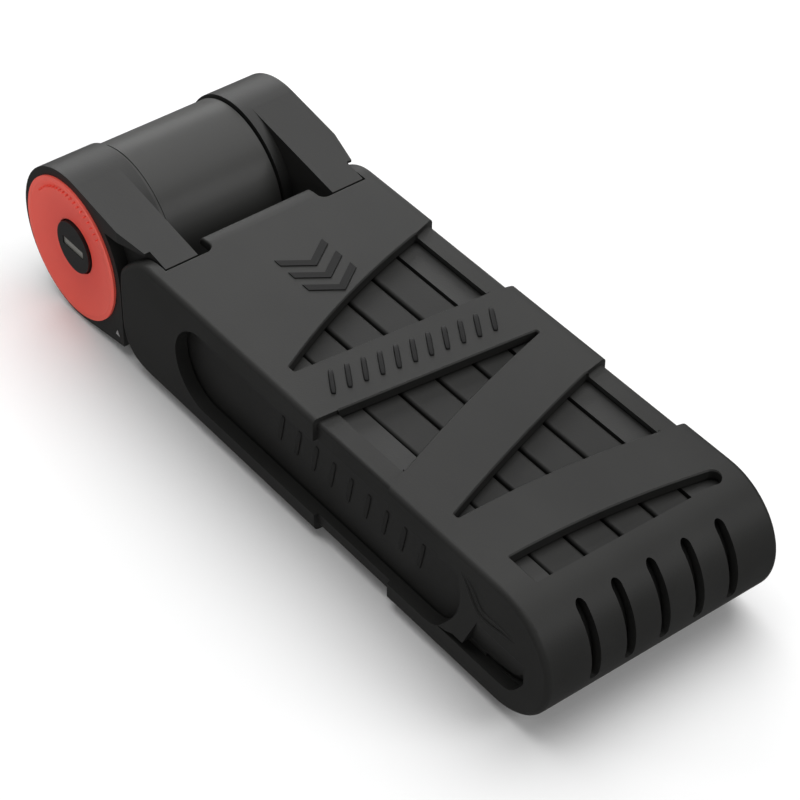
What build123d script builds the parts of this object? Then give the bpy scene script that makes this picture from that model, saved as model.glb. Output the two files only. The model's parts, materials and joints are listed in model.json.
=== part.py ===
"""Folding bike lock, folded and seated in its moulded carrying case.

X runs along the folded links (lock barrel at -X, closed end of the case at +X),
Y runs across the stack of links, Z is up. The origin lies on the mounting face,
midway between the two frame screws.
"""

from build123d import *
from math import cos, radians, sin
import os

os.makedirs("parts", exist_ok=True)

# ---- driving dimensions (mm) ----
CASE_WIDTH = 66.0          # across the two cheeks
CASE_HEIGHT = 34.2         # over the raised straps
PAD_THICK = 2.6            # rubber pads that stand the case off the frame tube
BARREL_R = 20.75           # outer radius of the lock barrel and both heads
BARREL_RISE = 18.35        # barrel axis above the underside of the case
BARREL_X = -81.0           # barrel axis along X
STRAP_PROUD = 1.2          # straps stand this far over the case skin
WALL = 3.5                 # side wall measured at a strap
FLOOR = 3.0
CEILING = 2.5
LINK_COUNT = 6
LINK_PITCH = 9.8           # spacing of the links along Y
LINK_THICK = 9.2           # one link with its plastic cover
CORE_THICK = 5.0           # hardened steel plate inside a link
REAR_PIVOT_X = 84.5
FRONT_PIVOT_X = -35.0
RIVET_R = 6.0
SCREW_SPACING = 64.0       # bottle-cage pattern
SCREW_HOLE_R = 2.75        # clears an M5 screw

# ---- worked-out sizes ----
CASE_Z0 = PAD_THICK
CASE_Z1 = CASE_Z0 + CASE_HEIGHT
CASE_MID_Z = CASE_Z0 + CASE_HEIGHT / 2
HALF_W = CASE_WIDTH / 2
AXIS_Z = CASE_Z0 + BARREL_RISE
CAVITY_Z0 = CASE_Z0 + FLOOR
CAVITY_Z1 = CASE_Z1 - CEILING
CAVITY_HALF_W = HALF_W - WALL
LINK_GAP = 0.5             # running clearance between link and case
LINK_Z0 = CAVITY_Z0 + LINK_GAP
LINK_Z1 = CAVITY_Z1 - LINK_GAP
LINK_R = (LINK_Z1 - LINK_Z0) / 2
LINK_MID_Z = (LINK_Z0 + LINK_Z1) / 2
CORE_R = LINK_R - 2.4      # steel plate inside its cover
FIT = 0.05                 # running fit of pins and shafts
ARM_INNER = LINK_PITCH * 2 + 0.3        # inner face of each outer arm, from the mid plane
ARM_FLANK = ARM_INNER + LINK_THICK      # outer face of an arm inside the case
ARM_Y = (ARM_INNER + ARM_FLANK) / 2
HEAD_FACE = HALF_W - 0.6   # outer face of both heads
HEAD_R = BARREL_R + 0.45   # both heads are a little larger than the barrel
HEAD_LIFT = 0.45           # and stand a little higher
SEAM_NEAR = -16.2          # faces of the barrel between the two heads
SEAM_FAR = 16.9
REAR_R = CASE_HEIGHT / 2
MOUTH_X = -43.5            # front edge of the top panel over the arms
TONGUE_X = -50.0           # front edge of the tongue between the arms
TONGUE_HALF = 15.5
MOUTH_GAP = 0.4            # between the arms' shoulders and the mouth
RAIL_Y = 26.4              # inner edge of the side rails between the windows


def cross(y):
    """Plane across the object at the given Y, drawn in X and Z."""
    return Plane.XZ.offset(-y)


def slab(start, end):
    """Mid plane and thickness of a plate between two Y positions."""
    return cross((start + end) / 2), abs(end - start)


# ---- carrying case ----
CHEEK_TIP_X = -59.3
CHEEK_FILLET = 0.9
STRAP_FILLET = 1.4


def side_profile(inset):
    """Closed outline of the case from the side, inset from the strap surface."""
    low, high, radius = CASE_Z0 + inset, CASE_Z1 - inset, REAR_R - inset
    with BuildLine() as outline:
        Polyline((REAR_PIVOT_X, high), (-45.0, high))
        Spline((-45.0, high), (-51.5, high - 1.6), (-56.5, high - 5.5), (CHEEK_TIP_X, CASE_MID_Z + 4),
               tangents=((-1, 0), (0, -1)))
        Line((CHEEK_TIP_X, CASE_MID_Z + 4), (CHEEK_TIP_X, CASE_MID_Z - 6))
        Spline((CHEEK_TIP_X, CASE_MID_Z - 6), (-56.6, low + 3.0), (-46.0, low),
               tangents=((0, -1), (1, 0)))
        Line((-46.0, low), (REAR_PIVOT_X, low))
        ThreePointArc((REAR_PIVOT_X, low), (REAR_PIVOT_X + radius, CASE_MID_Z), (REAR_PIVOT_X, high))
    return outline.line


def hollow_profile():
    """Outline of the cavity that holds the folded links."""
    radius = (CAVITY_Z1 - CAVITY_Z0) / 2
    mid = (CAVITY_Z0 + CAVITY_Z1) / 2
    with BuildLine() as outline:
        Polyline((REAR_PIVOT_X, CAVITY_Z1), (-70.0, CAVITY_Z1), (-70.0, CAVITY_Z0),
                 (REAR_PIVOT_X, CAVITY_Z0))
        ThreePointArc((REAR_PIVOT_X, CAVITY_Z0), (REAR_PIVOT_X + radius, mid),
                      (REAR_PIVOT_X, CAVITY_Z1))
    return outline.line


# Body at the level of the plain skin, under the straps.
with BuildPart() as skin_body:
    with BuildSketch(Plane.XZ):
        add(side_profile(STRAP_PROUD))
        make_face()
    extrude(amount=HALF_W - STRAP_PROUD, both=True)
    fillet(skin_body.edges().group_by(Axis.Y)[0] + skin_body.edges().group_by(Axis.Y)[-1],
           radius=CHEEK_FILLET)

# Rail patches that stay at skin level between the straps, right round the case.
with BuildPart() as rail_patches:
    with BuildSketch(Plane.XY):
        with BuildLine():
            Polyline((-22.0, HALF_W + 2), (-19.2, RAIL_Y), (8.5, RAIL_Y), (10.6, HALF_W + 2),
                     close=True)
        make_face()
        with BuildLine():
            Polyline((19.3, -HALF_W - 2), (20.0, -RAIL_Y), (44.3, -RAIL_Y), (47.6, -HALF_W - 2),
                     close=True)
        make_face()
        with BuildLine():
            Polyline((42.0, HALF_W + 2), (43.6, RAIL_Y), (68.4, RAIL_Y), (70.4, HALF_W + 2),
                     close=True)
        make_face()
    extrude(amount=CASE_Z1 + 5)
    add(skin_body.part, mode=Mode.SUBTRACT)

# Zigzag windows between the straps, cut through the top wall.
WINDOW_CORNER_R = 0.45
WINDOW_CHAMFER = 0.3
LIP_FILLET = 2.2
MOUTH_FILLET = 0.5
NOTCH_FILLET = 2.0
with BuildSketch(Plane.XY) as windows:
    with BuildLine():
        a_tip, a_far, a_end = (1.6, -RAIL_Y), (-19.2, RAIL_Y), (8.5, RAIL_Y)
        ThreePointArc(a_tip, (-10.9, 0.5), a_far)
        Polyline(a_far, a_end, (3.6, -RAIL_Y), a_tip)
    make_face()
    with BuildLine():
        b_tip, b_low, b_end = (25.6, RAIL_Y), (20.0, -RAIL_Y), (44.3, -RAIL_Y)
        Polyline((26.6, RAIL_Y), b_tip, b_low, b_end)
        ThreePointArc(b_end, (34.4, 0.2), (26.6, RAIL_Y))
    make_face()
    with BuildLine():
        c_tip, c_far, c_end = (61.4, -RAIL_Y), (43.6, RAIL_Y), (68.4, RAIL_Y)
        ThreePointArc(c_tip, (51.7, 0.2), c_far)
        Line(c_far, c_end)
        ThreePointArc(c_end, (64.0, -1.0), (62.8, -RAIL_Y))
        Line((62.8, -RAIL_Y), c_tip)
    make_face()
    with BuildLine():
        Polyline((78.4, -25.2), (87.6, -25.2), (88.2, 24.5))
        ThreePointArc((88.2, 24.5), (86.6, 27.6), (84.4, 26.2))
        ThreePointArc((84.4, 26.2), (80.3, 4.0), (78.4, -25.2))
    make_face()
    fillet(windows.vertices(), radius=WINDOW_CORNER_R)

# Long side window that shows the outer link, and the shallow pocket behind it.
SIDE_WINDOW_LOW = CASE_Z0 + 5.0
SIDE_WINDOW_HIGH = CASE_Z0 + 28.0
SIDE_WINDOW_END = 71.6
with BuildSketch(Plane.XZ) as side_window:
    with BuildLine():
        Line((-26.0, SIDE_WINDOW_HIGH), (71.0, SIDE_WINDOW_HIGH))
        Spline((71.0, SIDE_WINDOW_HIGH), (SIDE_WINDOW_END, CASE_MID_Z), (66.0, SIDE_WINDOW_LOW + 3.0),
               (58.0, SIDE_WINDOW_LOW), tangents=((0.3, -1), (-1, 0)))
        Line((58.0, SIDE_WINDOW_LOW), (-25.0, SIDE_WINDOW_LOW))
        ThreePointArc((-25.0, SIDE_WINDOW_LOW), (-35.5, CASE_Z0 + 16.5), (-26.0, SIDE_WINDOW_HIGH))
    make_face()

# Pocket behind each side window: a ramp that sinks towards a ledge, with a drain slot.
POCKET_DEPTH = 2.8
RAMP_TOP, RAMP_FOOT = CASE_Z0 + 18.5, CASE_Z0 + 8.4
POCKET_LOW = CASE_Z0 + 6.6
with BuildPart() as pocket:
    with BuildSketch(Plane.YZ.offset(SIDE_WINDOW_END - 12)):
        with BuildLine():
            Polyline((-HALF_W, RAMP_TOP), (-HALF_W + POCKET_DEPTH, RAMP_FOOT),
                     (-HALF_W + POCKET_DEPTH, CASE_Z0), (-HALF_W - 1, CASE_Z0),
                     (-HALF_W - 1, RAMP_TOP), close=True)
        make_face()
    extrude(amount=REAR_R * 2)
    with BuildSketch(cross(-HALF_W)) as pocket_outline:
        with BuildLine():
            Polyline((63.5, POCKET_LOW), (67.5, POCKET_LOW + 0.7), (70.1, POCKET_LOW + 1.8), (73.4, POCKET_LOW + 1.8), (78.4, RAMP_TOP + 1),
                     (94.4, RAMP_TOP + 1))
            Spline((94.4, RAMP_TOP + 1), (94.0, CASE_Z0 + 13.6), (90.8, CASE_Z0 + 8.6), (83.0, POCKET_LOW),
                   tangents=((0, -1), (-1, 0)))
            Line((83.0, POCKET_LOW), (63.5, POCKET_LOW))
        make_face()
    extrude(pocket_outline.sketch, amount=WALL + 1, both=True, mode=Mode.INTERSECT)
    with BuildSketch(cross(-HALF_W)) as drain_outline:
        with BuildLine():
            Spline((78.4, POCKET_LOW + 0.1), (84.0, POCKET_LOW + 0.2), (90.0, CASE_Z0 + 8.5),
                   (92.9, CASE_Z0 + 12.6))
            Line((92.9, CASE_Z0 + 12.6), (91.6, CASE_Z0 + 13.2))
            Spline((91.6, CASE_Z0 + 13.2), (88.9, CASE_Z0 + 10.2), (84.0, POCKET_LOW + 1.7),
                   (78.4, POCKET_LOW + 1.3))
            Line((78.4, POCKET_LOW + 1.3), (78.4, POCKET_LOW + 0.1))
        make_face()
    extrude(drain_outline.sketch, amount=WALL + 1, both=True)

SLIT_WIDTH = 2.6
SLIT_LENGTH = 18.6
SLIT_MID_Z = CASE_Z0 + 21.85

with BuildPart() as case_shell:
    with BuildSketch(Plane.XZ):
        add(side_profile(0))
        make_face()
    extrude(amount=HALF_W, both=True)
    fillet(case_shell.edges().group_by(Axis.Y)[0] + case_shell.edges().group_by(Axis.Y)[-1],
           radius=STRAP_FILLET)
    add(rail_patches.part, mode=Mode.SUBTRACT)
    # hollow for the links, open at the front
    with BuildSketch(Plane.XZ):
        add(hollow_profile())
        make_face()
    extrude(amount=CAVITY_HALF_W, both=True, mode=Mode.SUBTRACT)
    # mouth of the top panel and floor: arms pass beside a tongue
    with BuildSketch(Plane.XY) as mouth:
        with BuildLine():
            Polyline((-70.0, -CAVITY_HALF_W), (MOUTH_X, -CAVITY_HALF_W), (MOUTH_X, -TONGUE_HALF),
                     (TONGUE_X, -TONGUE_HALF), (TONGUE_X, TONGUE_HALF + 1), (MOUTH_X, TONGUE_HALF + 1),
                     (MOUTH_X, CAVITY_HALF_W), (-70.0, CAVITY_HALF_W), close=True)
        make_face()
        fillet(mouth.vertices().filter_by_position(Axis.X, MOUTH_X - FIT, MOUTH_X + FIT)
               .filter_by_position(Axis.Y, -TONGUE_HALF - 2, TONGUE_HALF + 2), radius=NOTCH_FILLET)
    extrude(amount=CASE_Z1 + 5, mode=Mode.SUBTRACT)
    front_edges = case_shell.edges().filter_by_position(Axis.Z, CAVITY_Z1 + 0.1, CASE_Z1)
    fillet(front_edges.filter_by_position(Axis.X, TONGUE_X - FIT, TONGUE_X + FIT).sort_by(SortBy.LENGTH)[-1],
           radius=LIP_FILLET)
    fillet(front_edges.filter_by(Axis.Y).filter_by_position(Axis.X, MOUTH_X - FIT, MOUTH_X + FIT),
           radius=MOUTH_FILLET)
    # windows in the top, with a chamfer round their upper edges
    with BuildSketch(Plane.XY.offset(CASE_MID_Z)):
        add(windows.sketch)
    extrude(amount=CASE_HEIGHT, mode=Mode.SUBTRACT)
    with BuildSketch(Plane.XY.offset(CASE_Z1 - WINDOW_CHAMFER)):
        add(windows.sketch)
    extrude(amount=WINDOW_CHAMFER + FIT, taper=-45, mode=Mode.SUBTRACT)
    # side windows, one in each wall
    for side in (-1, 1):
        with BuildSketch(cross(side * CAVITY_HALF_W)):
            add(side_window.sketch)
        extrude(amount=-side * (WALL + 1), both=True, mode=Mode.SUBTRACT)
    add(pocket.part, mode=Mode.SUBTRACT)
    add(mirror(pocket.part, about=Plane.XZ, mode=Mode.PRIVATE), mode=Mode.SUBTRACT)
    # slits in the closed end, one for each gap between links
    with BuildSketch(Plane.YZ.offset(REAR_PIVOT_X + 4)):
        for index in range(1, LINK_COUNT):
            with Locations(((index - LINK_COUNT / 2) * LINK_PITCH, SLIT_MID_Z)):
                SlotOverall(SLIT_LENGTH, SLIT_WIDTH, rotation=90)
    extrude(amount=REAR_R, mode=Mode.SUBTRACT)
    # frame screw holes with head recesses
    with BuildSketch(Plane.XY):
        with Locations((-SCREW_SPACING / 2, 0), (SCREW_SPACING / 2, 0)):
            Circle(SCREW_HOLE_R)
    extrude(amount=CAVITY_Z0 + 1, mode=Mode.SUBTRACT)
case_shell.part.label = "case_shell"
export_step(case_shell.part, "parts/case_shell.step")

# Rubber pads under the case, round the two frame screws.
PAD_LENGTH, PAD_WIDTH, PAD_CORNER = 26.0, 22.0, 4.0
with BuildPart() as frame_pads:
    with BuildSketch(Plane.XY):
        with Locations((-SCREW_SPACING / 2, 0), (SCREW_SPACING / 2, 0)):
            RectangleRounded(PAD_LENGTH, PAD_WIDTH, PAD_CORNER)
            Circle(SCREW_HOLE_R, mode=Mode.SUBTRACT)
    extrude(amount=PAD_THICK)
frame_pads.part.label = "frame_pads"
export_step(frame_pads.part, "parts/frame_pads.step")


# ---- links ----
RIVET_HEAD_R, RIVET_HEAD = 8.0, 1.2
WASHER_R = 9.0
COVER_EDGE = 0.8


def link_y(number):
    """Mid plane of a link, counted from 1 on the -Y side."""
    return (number - (LINK_COUNT + 1) / 2) * LINK_PITCH


def mate_side(number, pivot_x):
    """Side (+1 or -1 in Y) of the neighbour that a link is hinged to at a pivot."""
    odd = number % 2 == 1
    return 1 if odd == (pivot_x == REAR_PIVOT_X) else -1


def bar_profile(radius, start_x):
    """Round-ended bar from the start pivot to the rear pivot."""
    with Locations(((start_x + REAR_PIVOT_X) / 2, LINK_MID_Z)):
        SlotCenterToCenter(REAR_PIVOT_X - start_x, radius * 2)


def arm_profile(head_r, bar_r, shoulder_z):
    """Plate from a round head down to a shoulder at the mouth, then a link bar."""
    with Locations((BARREL_X, AXIS_Z + HEAD_LIFT)):
        Circle(head_r)
    low, end = LINK_MID_Z - bar_r, MOUTH_X - MOUTH_GAP
    with Locations((end - bar_r / 2, (low + shoulder_z) / 2)):
        Rectangle(bar_r, shoulder_z - low)
    make_hull()
    bar_profile(bar_r, end - bar_r)


def hinge_pockets(number, pivot_x):
    """Openings in a cover for the washer on one side and the rivet head on the other."""
    side = mate_side(number, pivot_x)
    y = link_y(number)
    washer_plane, washer_deep = slab(y, y + side * LINK_PITCH)
    with BuildSketch(washer_plane) as face:
        with Locations((pivot_x, LINK_MID_Z)):
            Circle(WASHER_R + FIT)
    extrude(face.sketch, amount=washer_deep / 2, both=True, mode=Mode.SUBTRACT)
    head_plane, head_deep = slab(y, y - side * (CORE_THICK / 2 + RIVET_HEAD + FIT))
    with BuildSketch(head_plane) as face:
        with Locations((pivot_x, LINK_MID_Z)):
            Circle(RIVET_HEAD_R + FIT)
    extrude(face.sketch, amount=head_deep / 2, both=True, mode=Mode.SUBTRACT)


# Inner links, hinged at both ends.
for number in range(2, LINK_COUNT):
    with BuildPart() as link_core:
        with BuildSketch(cross(link_y(number))):
            bar_profile(CORE_R, FRONT_PIVOT_X)
            with Locations((FRONT_PIVOT_X, LINK_MID_Z), (REAR_PIVOT_X, LINK_MID_Z)):
                Circle(RIVET_R + FIT, mode=Mode.SUBTRACT)
        extrude(amount=CORE_THICK / 2, both=True)
    link_core.part.label = f"link_core_{number}"
    export_step(link_core.part, f"parts/link_core_{number}.step")

    with BuildPart() as link_cover:
        with BuildSketch(cross(link_y(number))):
            bar_profile(LINK_R, FRONT_PIVOT_X)
        extrude(amount=LINK_THICK / 2, both=True)
        rims = link_cover.edges().group_by(Axis.Y)
        fillet(rims[0] + rims[-1], radius=COVER_EDGE)
        with BuildSketch(cross(link_y(number))):
            bar_profile(CORE_R, FRONT_PIVOT_X)
        extrude(amount=CORE_THICK / 2, both=True, mode=Mode.SUBTRACT)
        hinge_pockets(number, FRONT_PIVOT_X)
        hinge_pockets(number, REAR_PIVOT_X)
    link_cover.part.label = f"link_cover_{number}"
    export_step(link_cover.part, f"parts/link_cover_{number}.step")

# Rivets and nylon washers: three hinges at the rear, two at the front.
HINGES = [(number, REAR_PIVOT_X if number % 2 else FRONT_PIVOT_X) for number in range(1, LINK_COUNT)]
RIVET_LENGTH = LINK_PITCH + CORE_THICK
with BuildPart() as hinge_rivets:
    for number, pivot_x in HINGES:
        y = link_y(number) + LINK_PITCH / 2
        with BuildSketch(cross(y)):
            with Locations((pivot_x, LINK_MID_Z)):
                Circle(RIVET_R)
        extrude(amount=RIVET_LENGTH / 2, both=True)
        for side in (-1, 1):
            with BuildSketch(cross(y + side * (RIVET_LENGTH + RIVET_HEAD) / 2)):
                with Locations((pivot_x, LINK_MID_Z)):
                    Circle(RIVET_HEAD_R)
            extrude(amount=RIVET_HEAD / 2, both=True)
hinge_rivets.part.label = "hinge_rivets"
export_step(hinge_rivets.part, "parts/hinge_rivets.step")

with BuildPart() as hinge_washers:
    for number, pivot_x in HINGES:
        with BuildSketch(cross(link_y(number) + LINK_PITCH / 2)):
            with Locations((pivot_x, LINK_MID_Z)):
                Circle(WASHER_R)
                Circle(RIVET_R + FIT, mode=Mode.SUBTRACT)
        extrude(amount=(LINK_PITCH - CORE_THICK) / 2, both=True)
hinge_washers.part.label = "hinge_washers"
export_step(hinge_washers.part, "parts/hinge_washers.step")

# ---- lock head ----
HOUSING_R = 18.3           # steel body inside the barrel sleeve
NECK_R = 12.2              # housing neck that runs through the near head
NECK_FACE = -30.0
HOUSING_Y0, HOUSING_Y1 = -15.4, 16.5
SLEEVE_R = HOUSING_R + 0.1
SEAM_RING = 1.2
CORE_HEAD_R = 17.0
CAP_R, CAP_HOLE_R, CAP_SEAT, CAP_DISH = 19.3, 7.4, 2.6, 1.5
STUD_R, STUD_END = 7.0, 2.7
SHOULDER_Z = CASE_Z1 - 0.1                # top of an arm, flush with the case
PLATE_END_X = CHEEK_TIP_X - 0.4           # outer plates stop short of the cheeks
LIP_END_X = -50.5
NOTCH_X = 4.4              # flat of the stud notch, from the barrel axis
NOTCH_Y0, NOTCH_Y1 = 5.0, 10.5
STROKE = 3.0               # travel of the locking bolt
FIX_PIN_R, FIX_PIN_AT, FIX_PIN_DEPTH = 1.5, 14.4, 3.0
AXIS = Axis((BARREL_X, 0, AXIS_Z), (0, 1, 0))


def disc(radius, start, end, mode=Mode.ADD, hole=0.0):
    """Disc or ring on the barrel axis between two Y positions."""
    plane, thick = slab(start, end)
    with BuildSketch(plane) as face:
        with Locations((BARREL_X, AXIS_Z)):
            Circle(radius)
            if hole:
                Circle(hole, mode=Mode.SUBTRACT)
    extrude(face.sketch, amount=thick / 2, both=True, mode=mode)


def block(x_range, y_range, z_range, mode=Mode.ADD):
    """Block placed from the barrel axis in X and Z, and at true Y."""
    plane, thick = slab(*y_range)
    with BuildSketch(plane) as face:
        with Locations((BARREL_X + sum(x_range) / 2, AXIS_Z + sum(z_range) / 2)):
            Rectangle(x_range[1] - x_range[0], z_range[1] - z_range[0])
    extrude(face.sketch, amount=thick / 2, both=True, mode=mode)


def fixing_pins(mode=Mode.ADD):
    """Two pins that join the near arm's core to the housing."""
    plane, thick = slab(-ARM_Y, HOUSING_Y0 + FIX_PIN_DEPTH)
    with BuildSketch(plane) as face:
        with Locations((BARREL_X, AXIS_Z)):
            with PolarLocations(FIX_PIN_AT, 2, start_angle=90):
                Circle(FIX_PIN_R)
    extrude(face.sketch, amount=thick / 2, both=True, mode=mode)


def arm_core(side):
    """Steel plate of an outer arm, with its rear rivet hole."""
    with BuildSketch(cross(side * ARM_Y)) as face:
        arm_profile(CORE_HEAD_R, CORE_R, LINK_MID_Z + CORE_R)
        with Locations((REAR_PIVOT_X, LINK_MID_Z)):
            Circle(RIVET_R + FIT, mode=Mode.SUBTRACT)
    extrude(face.sketch, amount=CORE_THICK / 2, both=True)


def arm_cover(side, drum_face):
    """Moulded cover of an outer arm: tapered plate, head, inner drum and core pocket."""
    with BuildSketch(cross(side * ARM_Y)) as face:
        arm_profile(HEAD_R, LINK_R, SHOULDER_Z)
    extrude(face.sketch, amount=LINK_THICK / 2, both=True)
    # outer plate: the head, its foot, and a lip along the top of the taper over the cheek
    plane, thick = slab(side * ARM_Y, side * HEAD_FACE)
    with BuildSketch(plane) as face:
        arm_profile(HEAD_R, LINK_R, SHOULDER_Z)
        with BuildLine():
            Polyline((-65.3, CASE_Z0 + 33.0), (LIP_END_X, CASE_Z0 + 34.5), (LIP_END_X, CASE_Z1 + REAR_R),
                     (REAR_PIVOT_X + REAR_R, CASE_Z1 + REAR_R), (REAR_PIVOT_X + REAR_R, CASE_Z0 - REAR_R),
                     (PLATE_END_X, CASE_Z0 - REAR_R), (PLATE_END_X, AXIS_Z), close=True)
        make_face(mode=Mode.SUBTRACT)
        with Locations((BARREL_X, AXIS_Z + HEAD_LIFT)):
            Circle(HEAD_R)
    extrude(face.sketch, amount=thick / 2, both=True)
    with BuildSketch(Plane.XY.offset(AXIS_Z)) as face:
        with BuildLine():
            Polyline((PLATE_END_X, side * HEAD_FACE), (LIP_END_X + 1, side * (HEAD_FACE - 2)),
                     (LIP_END_X + 1, side * (HEAD_FACE + 1)), (PLATE_END_X, side * (HEAD_FACE + 1)),
                     close=True)
        make_face()
    extrude(face.sketch, amount=HEAD_R * 2, mode=Mode.SUBTRACT)
    with BuildSketch(cross(side * ARM_Y)) as face:
        with Locations((BARREL_X, AXIS_Z + HEAD_LIFT)):
            Circle(HEAD_R)
    extrude(face.sketch, amount=side * (ARM_Y - abs(drum_face)))
    with BuildSketch(cross(side * ARM_Y)) as face:
        arm_profile(CORE_HEAD_R, CORE_R, LINK_MID_Z + CORE_R)
    extrude(face.sketch, amount=CORE_THICK / 2, both=True, mode=Mode.SUBTRACT)


# Near arm: carries the lock housing.
with BuildPart() as near_arm_core:
    arm_core(-1)
    disc(NECK_R, -ARM_Y - CORE_THICK, -ARM_Y + CORE_THICK, mode=Mode.SUBTRACT)
    fixing_pins(Mode.SUBTRACT)
near_arm_core.part.label = "near_arm_core"
export_step(near_arm_core.part, "parts/near_arm_core.step")

with BuildPart() as near_arm_cover:
    arm_cover(-1, SEAM_NEAR - SEAM_RING / 2)
    hinge_pockets(1, REAR_PIVOT_X)
    disc(NECK_R, -HALF_W, 0, mode=Mode.SUBTRACT)
    disc(CAP_R, -HALF_W, -HALF_W + CAP_SEAT, mode=Mode.SUBTRACT)
    fixing_pins(Mode.SUBTRACT)
near_arm_cover.part.label = "near_arm_cover"
export_step(near_arm_cover.part, "parts/near_arm_cover.step")

# Far arm: its core carries the stud that the barrel grips.
with BuildPart() as far_arm_core:
    arm_core(1)
    disc(STUD_R, STUD_END, ARM_Y)
    block((-STUD_R - 1, -NOTCH_X), (NOTCH_Y0, NOTCH_Y1), (-STUD_R, STUD_R), mode=Mode.SUBTRACT)
far_arm_core.part.label = "far_arm_core"
export_step(far_arm_core.part, "parts/far_arm_core.step")

SEAM_GAP = 0.6
with BuildPart() as far_arm_cover:
    arm_cover(1, SEAM_FAR + SEAM_GAP / 2)
    hinge_pockets(LINK_COUNT, REAR_PIVOT_X)
    disc(STUD_R, 0, ARM_Y, mode=Mode.SUBTRACT)
far_arm_cover.part.label = "far_arm_cover"
export_step(far_arm_cover.part, "parts/far_arm_cover.step")

# Barrel sleeve and the trim rings at its two seams.
with BuildPart() as barrel_sleeve:
    disc(BARREL_R, SEAM_NEAR + SEAM_RING / 2, SEAM_FAR - SEAM_GAP / 2, hole=SLEEVE_R)
barrel_sleeve.part.label = "barrel_sleeve"
export_step(barrel_sleeve.part, "parts/barrel_sleeve.step")

RING_INSET = 0.2
with BuildPart() as near_seam_ring:
    disc(BARREL_R - RING_INSET, SEAM_NEAR - SEAM_RING / 2, SEAM_NEAR + SEAM_RING / 2, hole=SLEEVE_R)
near_seam_ring.part.label = "near_seam_ring"
export_step(near_seam_ring.part, "parts/near_seam_ring.step")

# Red cap ring: dished face round the key plug.
with BuildPart() as cap_ring:
    with BuildSketch(Plane.XY.offset(AXIS_Z)):
        with BuildLine():
            inner, outer, rim = BARREL_X + CAP_HOLE_R, BARREL_X + CAP_R, BARREL_X + CAP_R - 1.2
            seat = -HALF_W + CAP_SEAT
            Polyline((inner, seat), (outer, seat), (outer, -HALF_W), (rim, -HALF_W))
            ThreePointArc((rim, -HALF_W), ((rim + inner) / 2, -HALF_W + 0.9 * CAP_DISH),
                          (inner, -HALF_W + CAP_DISH))
            Line((inner, -HALF_W + CAP_DISH), (inner, seat))
        make_face()
    revolve(axis=AXIS)
cap_ring.part.label = "cap_ring"
export_step(cap_ring.part, "parts/cap_ring.step")

# Key plug: a hollow cage for the discs, turning in the housing.
PLUG_R, PLUG_NOSE_R, PLUG_BORE_R = 8.5, 7.0, 6.6
PLUG_FACE, PLUG_SHOULDER, PLUG_END = -32.3, -29.8, -4.0
DISC_START, DISC_THICK, SPACER_THICK, DISC_COUNT = -27.6, 1.8, 1.0, 7
KEYWAY = (9.0, 2.4)
SIDEBAR_R, SIDEBAR_AT = 0.9, 7.6
DISC_END = DISC_START + DISC_COUNT * DISC_THICK + (DISC_COUNT - 1) * SPACER_THICK
with BuildPart() as key_plug:
    disc(PLUG_R, PLUG_SHOULDER, PLUG_END)
    disc(PLUG_NOSE_R, PLUG_FACE, PLUG_SHOULDER)
    disc(PLUG_BORE_R, DISC_START, DISC_END, mode=Mode.SUBTRACT)
    block((-KEYWAY[0] / 2, KEYWAY[0] / 2), (PLUG_FACE, DISC_START), (-KEYWAY[1] / 2, KEYWAY[1] / 2),
          mode=Mode.SUBTRACT)
    block((-SIDEBAR_R, SIDEBAR_R), (DISC_START, DISC_END), (PLUG_BORE_R - 1, PLUG_R), mode=Mode.SUBTRACT)
key_plug.part.label = "key_plug"
export_step(key_plug.part, "parts/key_plug.step")

with BuildPart() as disc_tumblers:
    for index in range(DISC_COUNT):
        start = DISC_START + index * (DISC_THICK + SPACER_THICK)
        disc(PLUG_BORE_R - FIT, start, start + DISC_THICK)
    block((-KEYWAY[0] / 2, KEYWAY[0] / 2), (DISC_START, DISC_END), (-KEYWAY[1] / 2, KEYWAY[1] / 2),
          mode=Mode.SUBTRACT)
disc_tumblers.part.label = "disc_tumblers"
export_step(disc_tumblers.part, "parts/disc_tumblers.step")

SPACER_BORE_R = 5.2
with BuildPart() as disc_spacers:
    for index in range(1, DISC_COUNT):
        end = DISC_START + index * (DISC_THICK + SPACER_THICK)
        disc(PLUG_BORE_R - FIT, end - SPACER_THICK, end, hole=SPACER_BORE_R)
disc_spacers.part.label = "disc_spacers"
export_step(disc_spacers.part, "parts/disc_spacers.step")

with BuildPart() as sidebar:
    plane, thick = slab(DISC_START, DISC_END)
    with BuildSketch(plane):
        with Locations((BARREL_X, AXIS_Z + SIDEBAR_AT)):
            Circle(SIDEBAR_R - FIT)
    extrude(amount=thick / 2, both=True)
sidebar.part.label = "sidebar"
export_step(sidebar.part, "parts/sidebar.step")

# Bright keyway shutter, just inside the plug face.
with BuildPart() as keyway_shutter:
    block((-KEYWAY[0] / 2, KEYWAY[0] / 2), (PLUG_FACE + 0.3, PLUG_FACE + 1.1),
          (-KEYWAY[1] / 2, KEYWAY[1] / 2))
keyway_shutter.part.label = "keyway_shutter"
export_step(keyway_shutter.part, "parts/keyway_shutter.step")

# Drive cam: its crank pin swings evenly about the vertical and shifts the bolt.
CAM_R, CAM_END, CRANK_PIN_R, CRANK_PIN_END = 8.0, -1.5, 1.3, 1.9
CRANK_R = STROKE / (2 * sin(radians(45)))
CRANK_DX = CRANK_R * cos(radians(45))
with BuildPart() as drive_cam:
    disc(CAM_R, PLUG_END, CAM_END)
    plane, thick = slab(CAM_END, CRANK_PIN_END)
    with BuildSketch(plane):
        with Locations((BARREL_X + CRANK_DX, AXIS_Z + CRANK_DX)):
            Circle(CRANK_PIN_R)
    extrude(amount=thick / 2, both=True)
drive_cam.part.label = "drive_cam"
export_step(drive_cam.part, "parts/drive_cam.step")

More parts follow.
